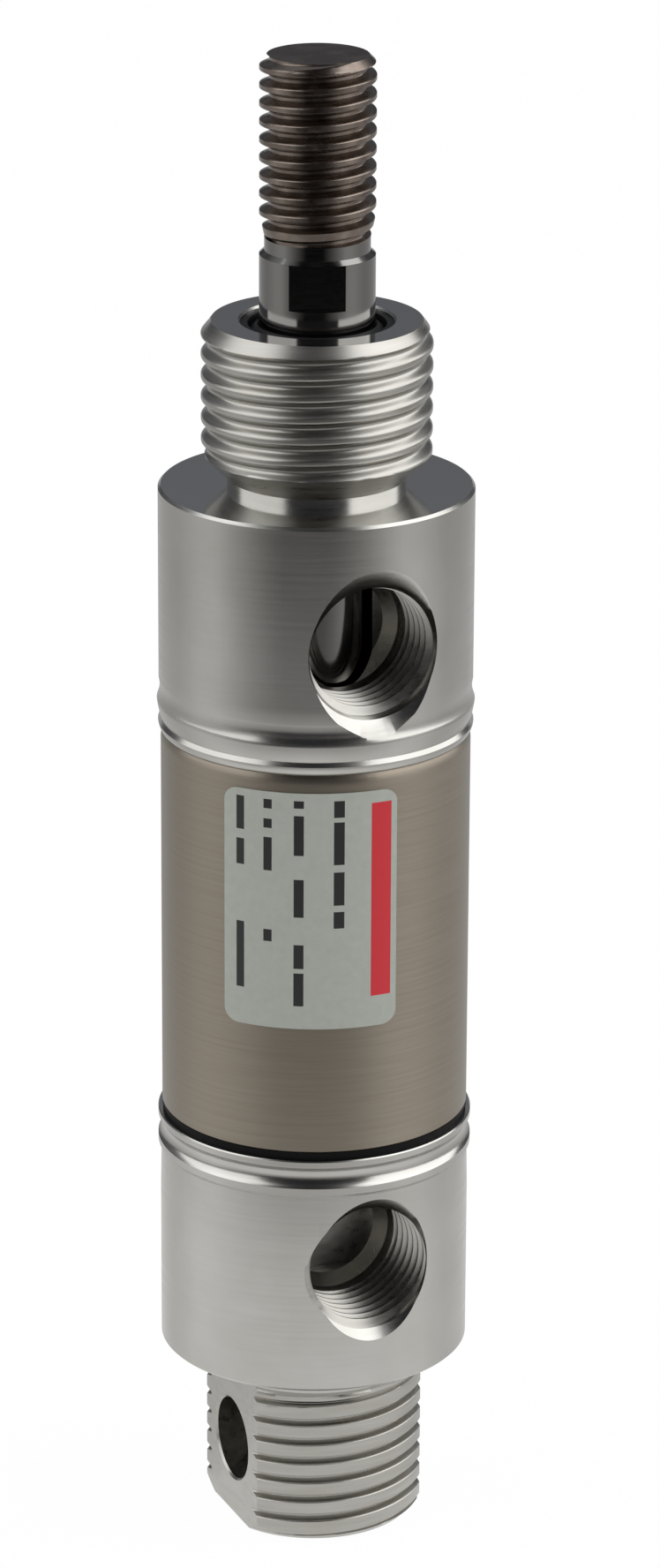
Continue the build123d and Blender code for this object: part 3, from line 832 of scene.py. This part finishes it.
rod_thread = {
    "pitch": rod_pitch, "start": rod_flank + 0.25 * rod_pitch, "crest": rod_radius, "root": 3.32,
    "crest_share": 0.22, "root_share": 0.15, "roundness": 1.0,
}
rod_mesh = turned(
    "piston_rod_polished",
    [
        (0, tenon_end), (tenon_radius - tenon_chamfer, tenon_end),
        (tenon_radius, tenon_end + tenon_chamfer),
        (tenon_radius, piston_top), (rod_radius, piston_top),
        (rod_radius, relief_bottom - rod_flat_length - below_rod_flats),
        (rod_radius, relief_bottom), (relief_radius, relief_bottom + relief_slope),
        (relief_radius, thread_bottom - relief_slope),
    ],
    [
        (relief_radius, thread_bottom - relief_slope),
        (relief_radius + thread_step, thread_bottom), (rod_radius, thread_full),
        (rod_radius, rod_top - rod_chamfer), (rod_radius - rod_chamfer, rod_top),
    ],
    [(rod_centre_radius, rod_top), (0, rod_top)],
    rod_thread, rod_columns, cut_above=True,
)
# The flats are chromed too. Their own number keeps the edges round them sharp.
rod = placed("piston_rod_polished", rod_mesh, chrome, oiled_steel, chrome)
cut(rod, *[
    block("rod_flat", (rod_flat_width, 2 * rod_flat_depth, rod_flat_length),
          (0, side * (rod_flat_distance + rod_flat_depth), relief_bottom - rod_flat_length / 2),
          rod_flat_turn)
    for side in (-1, 1)
], finish=2)
shade(rod)
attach(rod, "rod")
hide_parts("piston_rod")


# Piston: two halves turned from the same aluminium as the covers, clamped on the rod's tenon.
# Between them sit a magnet ring of sintered ferrite, a charcoal grey with grains drawn 0.15 mm
# wide, and a guide ring of cream acetal with tool lines drawn 0.2 mm apart.
for name in ("piston_rear", "piston_front"):
    nodes[name].material_slots[0].material = aluminium

ferrite, tree, shader = new_finish("sintered_ferrite", "2c2b2d", 0.0, 0.6)
grains = add(tree, "TexVoronoi", {
    "Vector": add(tree, "TexCoord").outputs["Object"], "Scale": 1 / (0.15 * mm),
})
vary(tree, shader, grains.outputs["Distance"], ("242325", "3a393c"))
nodes["magnet_ring"].material_slots[0].material = ferrite

acetal, tree, shader = new_finish("machined_acetal", "dcd7c8", 0.0, 0.4)
tool_lines = lathe_lines(tree, 0.2 * mm, 1.0)
vary(tree, shader, tool_lines, ("d3cdbc", "e4e0d3"))
nodes["guide_ring"].material_slots[0].material = acetal


# Lock washer and piston nut: zinc-plated steel, screwed on the tenon's end. The plating is a
# cool silver whose gloss changes over small flecks, about 0.4 mm wide.
zinc, tree, shader = new_finish("zinc_plated_steel", "b3b3b0", 1.0, 0.3)
flecks = add(tree, "TexNoise", {
    "Vector": add(tree, "TexCoord").outputs["Object"], "Scale": 1 / (0.4 * mm), "Detail": 3.0,
})
vary(tree, shader, flecks.outputs[0], ("a5a5a1", "bfbfbd"), roughness=(0.22, 0.4))
for name in ("lock_washer", "piston_nut"):
    nodes[name].material_slots[0].material = zinc


# Label: self-adhesive silver film, printed and stuck on the barrel. It is a pale even grey with
# a soft sheen. Its print is generic, a red stripe and four rows of black dashes that run along
# the barrel.
label_radius = 10.95
label_turn = math.radians(-25.0)
label_bottom = 40.93
label_top = 58.23
# Each row: its place across the label and its width in mm, and where its dashes begin and end,
# as shares of the way down the label.
dash_rows = (
    (2.05, 0.75, (0.03, 0.10, 0.12, 0.30, 0.33, 0.47, 0.50, 0.57)),
    (-0.75, 0.7, (0.03, 0.06, 0.09, 0.26, 0.36, 0.52, 0.64, 0.74, 0.76, 0.90)),
    (-2.95, 0.6, (0.03, 0.07, 0.11, 0.15, 0.19, 0.33, 0.58, 0.63)),
    (-5.0, 0.6, (0.03, 0.17, 0.21, 0.32, 0.56, 0.84)),
)
stripe_row = (5.1, 1.5, (0.05, 0.87))

film, tree, shader = new_finish("printed_silver_film", "92968e", 0.0, 0.38)
place = add(tree, "TexCoord").outputs["Object"]
part = add(tree, "SeparateXYZ", {0: place})
back_y = add(tree, "Math", {0: part.outputs["Y"], 1: -1.0}, operation="MULTIPLY")
round_angle = add(
    tree, "Math", {0: part.outputs["X"], 1: back_y.outputs[0]}, operation="ARCTAN2",
)
from_middle = add(tree, "Math", {0: round_angle.outputs[0], 1: label_turn}, operation="SUBTRACT")
across = add(tree, "Math", {0: from_middle.outputs[0], 1: label_radius}, operation="MULTIPLY")
down = add(tree, "MapRange", {
    "Value": part.outputs["Z"], "From Min": label_top * mm, "From Max": label_bottom * mm,
})


def printed(tree, across, down, row):
    """1 inside the dashes of a row, else 0: across lies within half a width of its centre, and
    down lies between its first and second ends, its third and fourth, and so on."""
    centre, width, ends = row
    inside = add(tree, "Math", {0: across, 1: centre, 2: width / 2}, operation="COMPARE")
    steps = add(tree, "ValToRGB", {0: down})
    steps.color_ramp.interpolation = "CONSTANT"
    steps.color_ramp.elements[1].position = ends[0]
    for end in ends[1:]:
        steps.color_ramp.elements.new(end)
    for number, stop in enumerate(steps.color_ramp.elements):
        stop.color = colour("ffffff") if number % 2 else colour("000000")
    dashes = add(tree, "Math", {0: inside.outputs[0], 1: steps.outputs[0]}, operation="MULTIPLY")
    return dashes.outputs[0]


ink = printed(tree, across.outputs[0], down.outputs[0], dash_rows[0])
for row in dash_rows[1:]:
    dashes = printed(tree, across.outputs[0], down.outputs[0], row)
    ink = add(tree, "Math", {0: ink, 1: dashes}, operation="MAXIMUM").outputs[0]
stripe = printed(tree, across.outputs[0], down.outputs[0], stripe_row)
fibre = add(tree, "TexNoise", {"Vector": place, "Scale": 1 / (0.6 * mm), "Detail": 4.0})
vary(tree, shader, fibre.outputs[0], roughness=(0.34, 0.42))
tone = add(tree, "ValToRGB", {0: fibre.outputs[0]})
tone.color_ramp.elements[0].color = colour("8c9088")
tone.color_ramp.elements[1].color = colour("989c95")
with_black = add(tree, "MixRGB", {0: ink, 1: tone.outputs[0], 2: colour("1c1b1b")})
with_red = add(tree, "MixRGB", {0: stripe, 1: with_black.outputs[0], 2: colour("b01622")})
tree.links.new(with_red.outputs[0], shader.inputs["Base Color"])
nodes["label"].material_slots[0].material = film
